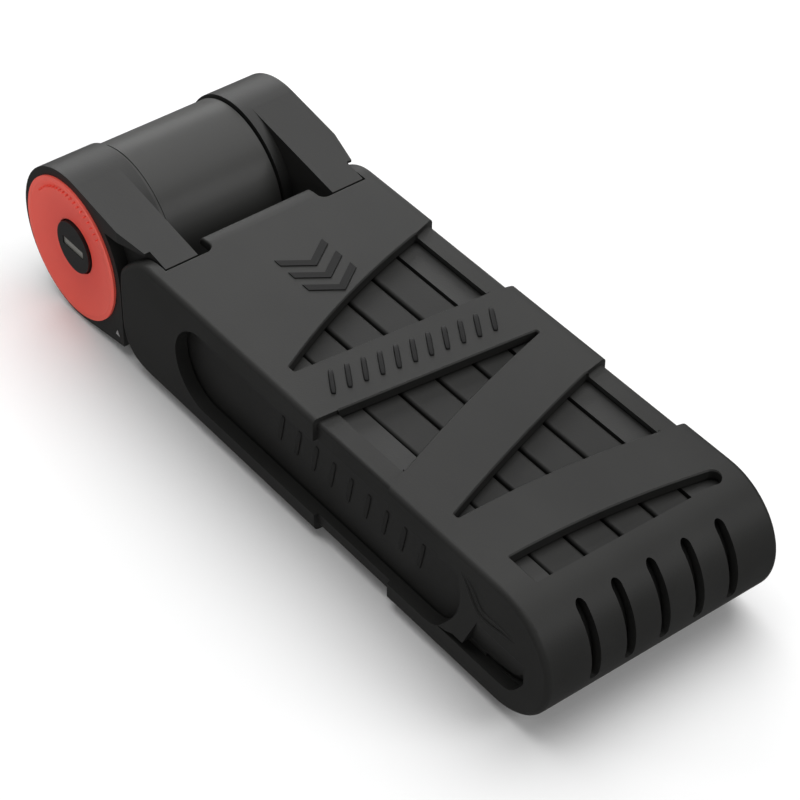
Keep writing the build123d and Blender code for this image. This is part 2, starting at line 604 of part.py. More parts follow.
# Locking bolt: a nose in the stud notch, and a slotted tail on the crank pin.
BOLT_BACK, BOLT_FRONT, BOLT_NOSE = -13.6, -7.3, -4.6
BOLT_HALF_Z, BOLT_Y0, BOLT_Y1 = 4.0, -1.2, 10.3
TAIL_END, TAIL_X, TAIL_Z0, TAIL_Z1 = 2.2, 4.6, -2.0, 5.6
CRANK_SLACK = 0.25
SPRING_BORE_R, SPRING_SEAT = 1.9, -9.6
SPRING_Y = 6.5
with BuildPart() as locking_bolt:
    block((BOLT_BACK, BOLT_FRONT), (BOLT_Y0, BOLT_Y1), (-BOLT_HALF_Z, BOLT_HALF_Z))
    block((BOLT_FRONT, BOLT_NOSE), (NOTCH_Y0 + 0.2, BOLT_Y1), (-BOLT_HALF_Z, BOLT_HALF_Z))
    block((BOLT_BACK, TAIL_X), (BOLT_Y0, TAIL_END), (TAIL_Z0, TAIL_Z1))
    slot_half = CRANK_PIN_R + CRANK_SLACK
    block((CRANK_DX - slot_half, CRANK_DX + slot_half), (BOLT_Y0, TAIL_END),
          (CRANK_DX - slot_half, CRANK_R + slot_half), mode=Mode.SUBTRACT)
    with BuildSketch(Plane.YZ.offset(BARREL_X + BOLT_BACK)):
        with Locations((SPRING_Y, AXIS_Z)):
            Circle(SPRING_BORE_R)
    extrude(amount=SPRING_SEAT - BOLT_BACK, mode=Mode.SUBTRACT)
locking_bolt.part.label = "locking_bolt"
export_step(locking_bolt.part, "parts/locking_bolt.step")

# Bolt spring between the bolt and the barrel sleeve.
SPRING_R, SPRING_WIRE_R, SPRING_TURNS = 1.5, 0.25, 7
SPRING_X0, SPRING_X1 = BARREL_X - HOUSING_R + 0.4, BARREL_X + SPRING_SEAT - 0.3
with BuildPart() as bolt_spring:
    coil = Helix(pitch=(SPRING_X1 - SPRING_X0) / SPRING_TURNS, height=SPRING_X1 - SPRING_X0, radius=SPRING_R,
                 center=(SPRING_X0, SPRING_Y, AXIS_Z), direction=(1, 0, 0), mode=Mode.PRIVATE)
    with BuildSketch(Plane(origin=coil @ 0, z_dir=coil % 0)):
        Circle(SPRING_WIRE_R)
    sweep(path=coil, is_frenet=True)
bolt_spring.part.label = "bolt_spring"
export_step(bolt_spring.part, "parts/bolt_spring.step")

# Steel housing: bored for the plug, the cam and bolt chamber, and the stud.
CLEAR = 0.3
with BuildPart() as lock_housing:
    disc(HOUSING_R, HOUSING_Y0, HOUSING_Y1)
    disc(NECK_R - FIT, NECK_FACE, HOUSING_Y0)
    disc(PLUG_R + FIT, NECK_FACE, PLUG_END, mode=Mode.SUBTRACT)
    disc(CAM_R + CLEAR, PLUG_END, CAM_END + CLEAR, mode=Mode.SUBTRACT)
    disc(STUD_R + CLEAR, CRANK_PIN_END, HOUSING_Y1, mode=Mode.SUBTRACT)
    block((BOLT_BACK - STROKE - CLEAR, BOLT_NOSE), (BOLT_Y0 - CLEAR, BOLT_Y1 + CLEAR),
          (-BOLT_HALF_Z - CLEAR, BOLT_HALF_Z + CLEAR), mode=Mode.SUBTRACT)
    block((BOLT_BACK - STROKE - CLEAR, TAIL_X + CLEAR), (BOLT_Y0 - CLEAR, TAIL_END + CLEAR),
          (TAIL_Z0 - CLEAR, TAIL_Z1 + CLEAR), mode=Mode.SUBTRACT)
    with BuildSketch(Plane.YZ.offset(BARREL_X - HOUSING_R)):
        with Locations((SPRING_Y, AXIS_Z)):
            Circle(SPRING_BORE_R)
    extrude(amount=HOUSING_R + BOLT_BACK, mode=Mode.SUBTRACT)
    fixing_pins(Mode.SUBTRACT)
lock_housing.part.label = "lock_housing"
export_step(lock_housing.part, "parts/lock_housing.step")

# Pins that fix the near arm's core to the housing.
with BuildPart() as housing_pins:
    fixing_pins()
housing_pins.part.label = "housing_pins"
export_step(housing_pins.part, "parts/housing_pins.step")
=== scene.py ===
"""Folding bike lock in its moulded carrying case, laid out as a Blender add-on and run as a script."""

import json
import math

import bmesh
import bpy
from bpy.props import FloatProperty, FloatVectorProperty, IntProperty, PointerProperty
from mathutils import Matrix, Vector


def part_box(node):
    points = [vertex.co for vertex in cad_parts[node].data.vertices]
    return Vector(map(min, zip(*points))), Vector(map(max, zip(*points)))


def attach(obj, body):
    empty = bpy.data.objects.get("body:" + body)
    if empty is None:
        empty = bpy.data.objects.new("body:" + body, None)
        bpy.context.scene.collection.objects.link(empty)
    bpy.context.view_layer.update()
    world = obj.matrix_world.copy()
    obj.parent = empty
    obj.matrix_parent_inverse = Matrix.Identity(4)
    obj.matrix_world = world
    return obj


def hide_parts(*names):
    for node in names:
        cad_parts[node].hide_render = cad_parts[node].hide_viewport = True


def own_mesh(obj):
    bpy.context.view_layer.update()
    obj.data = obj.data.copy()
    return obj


bl_info = {
    "name": "Folding bike lock",
    "version": (1, 0, 0),
    "blender": (4, 5, 0),
    "location": "3D Viewport > Sidebar > Folding Lock",
    "description": "Finishes and trim for a folding bike lock in its carrying case",
    "category": "Object",
}

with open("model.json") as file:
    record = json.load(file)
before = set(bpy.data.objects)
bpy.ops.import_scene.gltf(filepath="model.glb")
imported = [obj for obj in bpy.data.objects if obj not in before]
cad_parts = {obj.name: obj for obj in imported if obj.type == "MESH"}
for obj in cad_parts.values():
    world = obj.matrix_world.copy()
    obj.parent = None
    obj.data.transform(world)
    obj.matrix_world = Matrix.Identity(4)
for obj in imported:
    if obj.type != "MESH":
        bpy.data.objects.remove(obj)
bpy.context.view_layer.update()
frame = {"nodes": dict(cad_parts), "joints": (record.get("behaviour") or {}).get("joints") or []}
NODES = frame["nodes"]

MM = 0.001
CASE_LOW, CASE_HIGH = (Vector(corner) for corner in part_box("case_shell"))
SLEEVE_LOW, SLEEVE_HIGH = (Vector(corner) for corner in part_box("barrel_sleeve"))
CAP_LOW = Vector(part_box("cap_ring")[0])
ARM_LOW = Vector(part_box("near_arm_cover")[0])
INNER_LOW, INNER_HIGH = (Vector(corner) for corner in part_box("link_cover_2"))
BARREL_AXIS = (SLEEVE_LOW + SLEEVE_HIGH) / 2
CASE_MID_Z = (CASE_LOW.z + CASE_HIGH.z) / 2
WALL_Y = CASE_HIGH.y


# ---- shader maths ----
class Wire:
    """A single shader value; arithmetic on it adds Math nodes."""

    def __init__(self, finish, socket):
        self.finish = finish
        self.socket = socket

    def _math(self, operation, *values):
        return self.finish.wire("ShaderNodeMath", {"operation": operation}, dict(enumerate(values)))

    def __add__(self, other):
        return self._math("ADD", self, other)

    __radd__ = __add__

    def __mul__(self, other):
        return self._math("MULTIPLY", self, other)

    __rmul__ = __mul__

    def __sub__(self, other):
        return self._math("SUBTRACT", self, other)

    def __rsub__(self, other):
        return self._math("SUBTRACT", other, self)

    def __pow__(self, other):
        return self._math("POWER", self, other)


class Finish:
    """A surface finish built from nodes round one Principled shader."""

    def __init__(self, name):
        self.material = bpy.data.materials.new(name)
        self.material.use_nodes = True
        self.tree = self.material.node_tree
        self.tree.nodes.clear()
        self.shader = self.node("ShaderNodeBsdfPrincipled")
        output = self.node("ShaderNodeOutputMaterial")
        self.tree.links.new(self.shader.outputs[0], output.inputs["Surface"])
        self.object_place = self.node("ShaderNodeTexCoord").outputs["Object"]

    def node(self, kind, settings=None, inputs=None):
        """Any node: its type, its settings, then the values or links of its sockets."""
        node = self.tree.nodes.new(kind)
        for name, value in (settings or {}).items():
            if name == "stops":
                self._ramp(node.color_ramp, value)
            else:
                setattr(node, name, value)
        for key, value in (inputs or {}).items():
            self.feed(node.inputs[key], value)
        return node

    def _ramp(self, ramp, stops):
        while len(ramp.elements) < len(stops):
            ramp.elements.new(0.5)
        for element, (place, level) in zip(ramp.elements, stops):
            element.position = place
            element.color = (level, level, level, 1)

    def feed(self, socket, value):
        if isinstance(value, Wire):
            value = value.socket
        if isinstance(value, bpy.types.NodeSocket):
            self.tree.links.new(value, socket)
        else:
            socket.default_value = value

    def wire(self, kind, settings=None, inputs=None, output=0):
        return Wire(self, self.node(kind, settings, inputs).outputs[output])

    def noise(self, grain, detail=2.0, roughness=0.5, stretch=(1, 1, 1)):
        """Noise whose features are about grain metres across."""
        place = self.wire("ShaderNodeMapping", None, {"Vector": self.object_place, "Scale": stretch})
        return self.wire("ShaderNodeTexNoise", None,
                         {"Vector": place, "Scale": 1 / grain, "Detail": detail, "Roughness": roughness})

    def pits(self, grain):
        """Cells about grain metres across, 0 at each cell's middle."""
        return self.wire("ShaderNodeTexVoronoi", None, {"Vector": self.object_place, "Scale": 1 / grain})

    def step(self, value, low, high):
        """Smooth 0 to 1 as value passes from low to high."""
        return self.wire("ShaderNodeMapRange", {"interpolation_type": "SMOOTHSTEP"},
                         {"Value": value, "From Min": low, "From Max": high})

    def blend(self, share, first, second):
        """Colour from first to second as share goes from 0 to 1."""
        return self.wire("ShaderNodeMix", {"data_type": "RGBA"},
                         {0: share, 6: (*first, 1), 7: (*second, 1)}, output=2)

    def bump(self, height, depth, strength=1.0):
        """Normal from a height pattern that is depth metres deep."""
        return self.wire("ShaderNodeBump", None,
                         {"Height": height, "Distance": depth, "Strength": strength})

    def close(self, **sockets):
        """Sets the shader's sockets, named with underscores, and returns the material."""
        for name, value in sockets.items():
            self.feed(self.shader.inputs[name.replace("_", " ").title().replace("Ior", "IOR")], value)
        return self.material


# ---- finishes ----
def moulded_black(name, colour, grain, rough, depth, gloss=0.24):
    """Spark-eroded plastic: fine even grain, faint flow clouds and a dry, soft gloss."""
    finish = Finish(name)
    fine = finish.noise(grain, detail=3.0, roughness=0.65)
    pits = finish.pits(grain * 1.6)
    clouds = finish.noise(0.022, detail=2.0, stretch=(0.5, 1, 1))
    darker = tuple(channel * 0.82 for channel in colour)
    lighter = tuple(channel * 1.16 for channel in colour)
    tone = finish.step(0.75 * clouds + 0.25 * fine, 0.3, 0.7)
    return finish.close(
        base_color=finish.blend(tone, darker, lighter),
        roughness=rough - 0.07 + 0.1 * fine + 0.05 * clouds,
        normal=finish.bump(0.7 * fine + 0.3 * pits, depth),
        specular_ior_level=gloss,
    )


def satin_coat(name, colour, rough):
    """Sprayed satin coat over metal: faint orange peel and a broad soft highlight."""
    finish = Finish(name)
    peel = finish.noise(0.0011, detail=1.0)
    turning = finish.noise(0.0006, detail=2.0, stretch=(0.05, 1, 0.05))
    lighter = tuple(channel * 1.12 for channel in colour)
    return finish.close(
        base_color=finish.blend(finish.noise(0.012), colour, lighter),
        roughness=rough + 0.06 * (turning - 0.5),
        normal=finish.bump(0.6 * peel + 0.4 * turning, 0.000012),
        coat_weight=0.08,
        coat_roughness=0.25,
        specular_ior_level=0.3,
    )


def coral_cap(name, colour):
    """Moulded red plastic with fine turned rings about the key, and painted shade that darkens the red
    towards the key hole, down in the dish.
    """
    finish = Finish(name)
    place = finish.node("ShaderNodeSeparateXYZ", None, {0: finish.object_place})
    across = Wire(finish, place.outputs["X"]) - BARREL_AXIS.x
    up = Wire(finish, place.outputs["Z"]) - BARREL_AXIS.z
    radius = (across * across + up * up) ** 0.5
    rings = finish.wire("ShaderNodeMath", {"operation": "SINE"}, {0: radius * (math.tau / 0.00045)})
    fine = finish.noise(0.00025, detail=3.0)
    # painted shade: the red is darkened from the rim in to the key hole, where the dish sinks
    dish_shade = finish.step(radius, 0.008, 0.019)
    shaded_red = (colour[0] * 0.9, colour[1] * 0.72, colour[2] * 0.72)
    return finish.close(
        base_color=finish.blend(dish_shade, shaded_red, colour),
        roughness=0.36 + 0.08 * fine,
        normal=finish.bump(0.5 * rings + 0.5 * fine, 0.000006),
        specular_ior_level=0.5,
    )


def ground_steel(name, colour, rough, along=(0.04, 1, 1)):
    """Ground steel or brass with fine parallel scratches."""
    finish = Finish(name)
    scratches = finish.noise(0.0004, detail=4.0, stretch=along)
    stain = finish.noise(0.009)
    darker = tuple(channel * 0.8 for channel in colour)
    return finish.close(
        base_color=finish.blend(finish.step(0.6 * scratches + 0.4 * stain, 0.3, 0.7), darker, colour),
        roughness=rough + 0.18 * (scratches - 0.5),
        normal=finish.bump(scratches, 0.000008),
        metallic=1.0,
    )


def soft_plain(name, colour, rough, depth):
    """Nylon or rubber: even tone with a dull, slightly pitted face."""
    finish = Finish(name)
    fine = finish.noise(0.0005, detail=3.0)
    darker = tuple(channel * 0.85 for channel in colour)
    return finish.close(
        base_color=finish.blend(fine, darker, colour),
        roughness=rough + 0.08 * (fine - 0.5),
        normal=finish.bump(fine, depth),
    )


def studio_paper(name, colour):
    """Pale floor card with the faintest tooth."""
    finish = Finish(name)
    tooth = finish.noise(0.0012, detail=2.0)
    return finish.close(base_color=(*colour, 1), roughness=0.9, normal=finish.bump(tooth, 0.00002))


def dress(material, *names):
    """Gives a finish to CAD nodes."""
    for name in names:
        for slot in NODES[name].material_slots:
            slot.material = material


# ---- mesh helpers ----
BEAD_TIP = 0.15  # share of a bead's radius left at its two ends


def new_object(name, mesh):
    piece = bpy.data.objects.new(name, mesh)
    bpy.context.scene.collection.objects.link(piece)
    return piece


def settle(piece, body, material=None):
    """Rides a finished piece on its body."""
    if material is not None and not piece.data.materials:
        piece.data.materials.append(material)
    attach(piece, body)
    return piece


def frozen(piece, name):
    """Plain mesh of an object with its modifiers or curve applied; the source is removed."""
    graph = bpy.context.evaluated_depsgraph_get()
    mesh = bpy.data.meshes.new_from_object(piece.evaluated_get(graph))
    mesh.name = name
    source = piece.data
    bpy.data.objects.remove(piece)
    if isinstance(source, bpy.types.Mesh):
        bpy.data.meshes.remove(source)
    else:
        bpy.data.curves.remove(source)
    return new_object(name, mesh)


def smooth(mesh):
    for face in mesh.polygons:
        face.use_smooth = True


def bead_along(name, points, radius):
    """Raised bead along a smooth line of points, drawn down to nothing at its ends."""
    curve = bpy.data.curves.new(name, "CURVE")
    curve.dimensions = "3D"
    curve.bevel_depth = radius
    curve.bevel_resolution = 4
    curve.resolution_u = 10
    curve.use_fill_caps = True
    spline = curve.splines.new("NURBS")
    spline.points.add(len(points) - 1)
    for index, (target, point) in enumerate(zip(spline.points, points)):
        target.co = (*point, 1)
        target.radius = BEAD_TIP if index in (0, len(points) - 1) else 1.0
    spline.order_u = 3
    spline.use_endpoint_u = True
    piece = frozen(new_object(name, curve), name)
    smooth(piece.data)
    return piece


# ---- geometry nodes ----
class Builder:
    """A geometry node tree with named inputs that ends in Realize Instances and Set Material."""

    def __init__(self, name, inputs):
        self.tree = bpy.data.node_groups.new(name, "GeometryNodeTree")
        self.sockets = {}
        for label, kind, value in inputs:
            socket = self.tree.interface.new_socket(label, in_out="INPUT", socket_type=kind)
            if value is not None:
                socket.default_value = value
            self.sockets[label] = socket.identifier
        self.tree.interface.new_socket("Geometry", in_out="OUTPUT", socket_type="NodeSocketGeometry")
        self.start = self.tree.nodes.new("NodeGroupInput")

    def given(self, label):
        return self.start.outputs[label]

    def node(self, kind, settings=None, inputs=None):
        node = self.tree.nodes.new(kind)
        for name, value in (settings or {}).items():
            setattr(node, name, value)
        for key, value in (inputs or {}).items():
            if isinstance(value, bpy.types.NodeSocket):
                self.tree.links.new(value, node.inputs[key])
            else:
                node.inputs[key].default_value = value
        return node

    def finish(self, instances):
        real = self.node("GeometryNodeRealizeInstances", None, {0: instances})
        smoothed = self.node("GeometryNodeSetShadeSmooth", None, {0: real.outputs[0]})
        painted = self.node("GeometryNodeSetMaterial", None,
                            {0: smoothed.outputs[0], "Material": self.given("Material")})
        end = self.tree.nodes.new("NodeGroupOutput")
        self.tree.links.new(painted.outputs[0], end.inputs[0])
        return self


def rib_tree():
    """Row of equal, rounded ribs, each turned by the same lean."""
    build = Builder("rib_row", [
        ("Count", "NodeSocketInt", 8), ("Pitch", "NodeSocketFloat", 0.004),
        ("Rib Size", "NodeSocketVector", (0.006, 0.0012, 0.0006)),
        ("Lean", "NodeSocketFloat", 0.0), ("Material", "NodeSocketMaterial", None)])
    step = build.node("ShaderNodeCombineXYZ", None, {"X": build.given("Pitch")})
    line = build.node("GeometryNodeMeshLine", None,
                      {"Count": build.given("Count"), "Offset": step.outputs[0]})
    block = build.node("GeometryNodeMeshCube", None,
                       {"Size": build.given("Rib Size"), "Vertices X": 4, "Vertices Y": 3, "Vertices Z": 3})
    rounded = build.node("GeometryNodeSubdivisionSurface", None, {0: block.outputs[0], "Level": 2})
    turn = build.node("ShaderNodeCombineXYZ", None, {"Z": build.given("Lean")})
    placed = build.node("GeometryNodeInstanceOnPoints", None,
                        {"Points": line.outputs[0], "Instance": rounded.outputs[0],
                         "Rotation": turn.outputs[0]})
    return build.finish(placed.outputs[0])


def tick_tree():
    """Ring of short radial ticks on part of a circle."""
    build = Builder("tick_ring", [
        ("Count", "NodeSocketInt", 24), ("Radius", "NodeSocketFloat", 0.016),
        ("Tick Size", "NodeSocketVector", (0.0014, 0.0005, 0.0002)),
        ("Start", "NodeSocketFloat", 0.0), ("Sweep", "NodeSocketFloat", math.pi),
        ("Material", "NodeSocketMaterial", None)])
    arc = build.node("GeometryNodeCurveArc", {"mode": "RADIUS"},
                     {"Resolution": build.given("Count"), "Radius": build.given("Radius"),
                      "Start Angle": build.given("Start"), "Sweep Angle": build.given("Sweep")})
    points = build.node("GeometryNodeCurveToPoints", {"mode": "EVALUATED"}, {0: arc.outputs[0]})
    block = build.node("GeometryNodeMeshCube", None,
                       {"Size": build.given("Tick Size"), "Vertices X": 3, "Vertices Y": 3, "Vertices Z": 3})
    rounded = build.node("GeometryNodeSubdivisionSurface", None, {0: block.outputs[0], "Level": 1})
    placed = build.node("GeometryNodeInstanceOnPoints", None,
                        {"Points": points.outputs[0], "Instance": rounded.outputs[0],
                         "Rotation": points.outputs["Rotation"]})
    return build.finish(placed.outputs[0])


def grown(name, build, values, place):
    """Mesh object made by a tree with the given inputs, put in place in its own mesh."""
    piece = new_object(name, bpy.data.meshes.new(name))
    modifier = piece.modifiers.new("grow", "NODES")
    modifier.node_group = build.tree
    for label, value in values.items():
        modifier[build.sockets[label]] = value
    result = frozen(piece, name)
    result.data.transform(place)
    return result


# ---- settings ----
class CaseSettings(bpy.types.PropertyGroup):
    """Sizes and colours of the carrying case."""

    colour: FloatVectorProperty(name="Case colour", description="Colour of the moulded case", size=3,
                                subtype="COLOR", min=0, max=1, default=(0.0178, 0.0178, 0.0168))
    trim_colour: FloatVectorProperty(name="Trim colour", description="Colour of the raised trim", size=3,
                                     subtype="COLOR", min=0, max=1, default=(0.006, 0.006, 0.006))
    grain: FloatProperty(name="Grain", description="Size of the moulded grain", default=0.00034,
                         min=0.0001, max=0.002, subtype="DISTANCE", unit="LENGTH")
    rough: FloatProperty(name="Case roughness", description="Roughness of the case", default=0.52,
                         min=0.1, max=1)
    rib_count: IntProperty(name="Grip ribs", description="Ribs along the middle strap", default=11,
                           min=3, max=40)
    rib_pitch: FloatProperty(name="Rib pitch", description="Spacing of the grip ribs", default=0.0043,
                             min=0.001, max=0.02, subtype="DISTANCE", unit="LENGTH")


class LockSettings(bpy.types.PropertyGroup):
    """Sizes and colours of the lock head and links."""

    link_colour: FloatVectorProperty(name="Link colour", description="Colour of the link covers", size=3,
                                     subtype="COLOR", min=0, max=1, default=(0.0165, 0.0165, 0.0156))
    link_grain: FloatProperty(name="Link grain", description="Size of the grain on the links and arms",
                              default=0.00042, min=0.0001, max=0.002, subtype="DISTANCE", unit="LENGTH")
    barrel_colour: FloatVectorProperty(name="Barrel colour", description="Colour of the barrel coat", size=3,
                                       subtype="COLOR", min=0, max=1, default=(0.034, 0.034, 0.0325))
    cap_colour: FloatVectorProperty(name="Cap colour", description="Colour of the ring round the key",
                                    size=3, subtype="COLOR", min=0, max=1, default=(0.95, 0.115, 0.08))


class StageSettings(bpy.types.PropertyGroup):
    """Camera, floor and lamps."""

    azimuth: FloatProperty(name="Azimuth", description="Camera turn about Z", default=math.radians(51.669),
                           subtype="ANGLE", unit="ROTATION")
    elevation: FloatProperty(name="Elevation", description="Camera height angle",
                             default=math.radians(41.975), subtype="ANGLE", unit="ROTATION")
    roll: FloatProperty(name="Roll", description="Camera roll", default=math.radians(0.816),
                        subtype="ANGLE", unit="ROTATION")
    position: FloatVectorProperty(name="Camera position", description="Where the camera stands", size=3,
                                  subtype="TRANSLATION", unit="LENGTH",
                                  default=(0.39128, -0.30236, 0.45602))
    lens: FloatProperty(name="Lens", description="Focal length in millimetres", default=126.33, min=20,
                        max=300)
    floor_colour: FloatVectorProperty(name="Floor colour", description="Colour of the floor card", size=3,
                                      subtype="COLOR", min=0, max=1, default=(0.93, 0.93, 0.93))
    floor_size: FloatProperty(name="Floor size", description="Side of the square floor card", default=6.0,
                              min=1, max=50, subtype="DISTANCE", unit="LENGTH")
    lamp_power: FloatProperty(name="Lamp power", description="Power of the overhead lamp in watts",
                              default=15.5, min=0, max=500)
    surround: FloatProperty(name="Surround", description="Strength of the even white surround", default=0.17,
                            min=0, max=5)


# ---- operators ----
class LOCK_OT_case(bpy.types.Operator):
    """Finish the moulded case and its rubber pads"""

    bl_idname = "folding_lock.case"
    bl_label = "Case"

    def execute(self, context):
        settings = context.scene.folding_lock_case
        grain_depth = 0.02 * MM
        black = moulded_black("case_moulding", settings.colour, settings.grain, settings.rough, grain_depth)
        dress(black, "case_shell")
        dress(soft_plain("pad_rubber", (0.02, 0.02, 0.02), 0.8, 0.00003), "frame_pads")
        return {"FINISHED"}


class LOCK_OT_case_trim(bpy.types.Operator):
    """Grip ribs on the middle strap, insertion chevrons on the front panel and beads on the pockets"""

    bl_idname = "folding_lock.case_trim"
    bl_label = "Case trim"

    def execute(self, context):
        settings = context.scene.folding_lock_case
        gloss = moulded_black("trim_moulding", settings.trim_colour, settings.grain, 0.45, 0.000005, 0.12)
        self.ribs(settings, gloss)
        self.chevrons(gloss)
        self.beads(bpy.data.materials["case_moulding"])
        return {"FINISHED"}

    def ribs(self, settings, material):
        """Slanted ribs in a row across the middle strap."""
        near, far = Vector((11.6, -23.0, 0)) * MM, Vector((16.9, 22.0, 0)) * MM
        rib_size, lean = Vector((1.3, 8.2, 1.1)) * MM, math.radians(-24)
        along = (far - near).normalized()
        middle = (near + far) / 2
        reach = settings.rib_pitch * (settings.rib_count - 1)
        start = middle - along * reach / 2
        turn = Matrix.Rotation(math.atan2(along.y, along.x), 4, "Z")
        place = Matrix.Translation((start.x, start.y, CASE_HIGH.z)) @ turn
        piece = grown("grip_ribs", rib_tree(), {
            "Count": settings.rib_count, "Pitch": settings.rib_pitch,
            "Rib Size": rib_size, "Lean": lean, "Material": material}, place)
        settle(piece, "case")

    def chevrons(self, material):
        """Three chevrons that point the way the lock goes in."""
        mesh = bpy.data.meshes.new("insertion_chevrons")
        shape = bmesh.new()
        first, pitch, sunk, rounding = -31.0 * MM, 5.6 * MM, 0.1 * MM, 0.12 * MM
        reach, half, thick, height = 5.0 * MM, 7.0 * MM, 2.6 * MM, 0.35 * MM
        for index in range(3):
            tip = first + pitch * index
            outline = [(tip, -half), (tip + thick, -half), (tip + thick + reach, 0),
                       (tip + thick, half), (tip, half), (tip + reach, 0)]
            low = [shape.verts.new((x, y, CASE_HIGH.z - sunk)) for x, y in outline]
            face = shape.faces.new(low)
            top = bmesh.ops.extrude_face_region(shape, geom=[face])
            moved = [item for item in top["geom"] if isinstance(item, bmesh.types.BMVert)]
            bmesh.ops.translate(shape, verts=moved, vec=(0, 0, height))
        bmesh.ops.recalc_face_normals(shape, faces=shape.faces)
        shape.to_mesh(mesh)
        shape.free()
        piece = new_object("insertion_chevrons", mesh)
        bevel = piece.modifiers.new("soften", "BEVEL")
        bevel.width = rounding
        bevel.segments = 3
        settle(frozen(piece, "insertion_chevrons"), "case", material)

    def beads(self, material):
        """Two fine beads that sweep down above the pocket in each side wall and meet at a point."""
        radius, sunk = 0.42 * MM, 0.05 * MM
        outer = ((72.0, 29.6), (74.3, 27.1), (76.5, 23.6), (78.6, 21.4), (82.7, 21.4),
                 (86.3, 22.3), (90.5, 22.6))
        inner = ((73.7, 29.6), (75.9, 27.6), (77.8, 25.3), (79.6, 23.0), (83.0, 23.1),
                 (86.7, 23.3), (90.5, 22.7))
        for side, label in ((-1, "near"), (1, "far")):
            for row, line in enumerate((outer, inner)):
                points = [(x * MM, side * (WALL_Y - sunk), CASE_LOW.z + z * MM) for x, z in line]
                bead = bead_along(f"pocket_bead_{label}_{row + 1}", points, radius)
                settle(bead, "case", material)


class LOCK_OT_links(bpy.types.Operator):
    """Finish the covered links, their steel plates, rivets and washers"""

    bl_idname = "folding_lock.links"
    bl_label = "Links"

    def execute(self, context):
        settings = context.scene.folding_lock_lock
        shared = (settings.link_colour, settings.link_grain, 0.5, 0.022 * MM)
        arms = moulded_black("arm_moulding", *shared, gloss=0.33)
        cover = moulded_black("link_moulding", *shared, gloss=0.2)
        steel = ground_steel("plate_steel", (0.42, 0.42, 0.43), 0.34)
        dress(arms, "near_arm_cover", "far_arm_cover")
        dress(cover, *(name for name in NODES if name.startswith("link_cover")))
        dress(steel, "near_arm_core", "far_arm_core", "hinge_rivets",
              *(name for name in NODES if name.startswith("link_core")))
        dress(soft_plain("washer_nylon", (0.6, 0.59, 0.55), 0.5, 0.00001), "hinge_washers")
        self.bars(cover)
        self.index_mark()
        return {"FINISHED"}

    def bars(self, material):
        """Row of plain raised bars on the face of each outer link, seen through the side windows."""
        link_face = abs(INNER_LOW.y - (INNER_HIGH.y - INNER_LOW.y) - 0.6 * MM)
        first_x, pitch, bar_size = 2.0 * MM, 6.5 * MM, Vector((1.4, 8.5, 0.7)) * MM
        upright = Matrix.Rotation(math.radians(90), 4, "X")
        for side, label in ((-1, "near"), (1, "far")):
            place = Matrix.Translation((first_x, side * link_face, CASE_MID_Z)) @ upright
            piece = grown(f"link_bars_{label}", rib_tree(), {
                "Count": 9, "Pitch": pitch, "Rib Size": bar_size,
                "Lean": math.radians(-12), "Material": material}, place)
            settle(piece, "lock")


    def index_mark(self):
        """Small plain triangle low on the near arm, just behind the red ring."""
        mesh = bpy.data.meshes.new("index_mark")
        shape = bmesh.new()
        half, tall, depth = 0.9 * MM, 1.7 * MM, 0.12 * MM
        mark_x, mark_lift = -62.3 * MM, 2.8 * MM
        foot = Vector((mark_x, ARM_LOW.y, CASE_LOW.z + mark_lift))
        outline = ((-half, 0), (half, 0), (0, tall))
        face = shape.faces.new([shape.verts.new(foot + Vector((x, depth / 2, z))) for x, z in outline])
        front = bmesh.ops.extrude_face_region(shape, geom=[face])
        moved = [item for item in front["geom"] if isinstance(item, bmesh.types.BMVert)]
        bmesh.ops.translate(shape, verts=moved, vec=(0, -depth, 0))
        bmesh.ops.recalc_face_normals(shape, faces=shape.faces)
        shape.to_mesh(mesh)
        shape.free()
        pale = soft_plain("index_paint", (0.3, 0.3, 0.3), 0.5, 0.000003)
        settle(new_object("index_mark", mesh), "lock", pale)


class LOCK_OT_head(bpy.types.Operator):
    """Finish the barrel, seam ring and red cap ring, and add its ticks and the return spring"""

    bl_idname = "folding_lock.head"
    bl_label = "Lock head"

    def execute(self, context):
        settings = context.scene.folding_lock_lock
        coat = satin_coat("barrel_coat", settings.barrel_colour, 0.56)
        red = coral_cap("cap_coral", settings.cap_colour)
        steel = ground_steel("lock_steel", (0.5, 0.5, 0.51), 0.3, along=(1, 0.05, 1))
        dress(coat, "barrel_sleeve", "near_seam_ring")
        dress(red, "cap_ring")
        dress(steel, "lock_housing", "housing_pins", "locking_bolt", "drive_cam", "sidebar")
        self.ticks(red)
        self.spring(steel)
        return {"FINISHED"}

    def spring(self, material):
        """Return spring copied into a mesh of its own and riding on the lock in place of the hidden CAD
        spring; the share by which it would shorten as the bolt draws back is worked out but not used.
        """
        low, high = (Vector(corner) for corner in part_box("bolt_spring"))
        stroke = next(joint["range_m"][1] for joint in frame["joints"] if joint["name"] == "bolt_slide")
        piece = new_object("return_spring", NODES["bolt_spring"].data.copy())
        piece.data.materials.clear()
        settle(piece, "lock", material)
        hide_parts("bolt_spring")
        length = high.x - low.x
        (length - stroke) / length
        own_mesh(piece)

    def ticks(self, material):
        """Plain ticks round the upper part of the red ring."""
        sunk, ring_radius, tick_size = 0.25 * MM, 16.5 * MM, Vector((0.5, 1.3, 0.4)) * MM
        face = Matrix.Rotation(math.radians(90), 4, "X")
        place = Matrix.Translation((BARREL_AXIS.x, CAP_LOW.y + sunk, BARREL_AXIS.z)) @ face
        piece = grown("cap_ticks", tick_tree(), {
            "Count": 19, "Radius": ring_radius, "Tick Size": tick_size,
            "Start": math.radians(40), "Sweep": math.radians(100), "Material": material}, place)
        settle(piece, "lock")


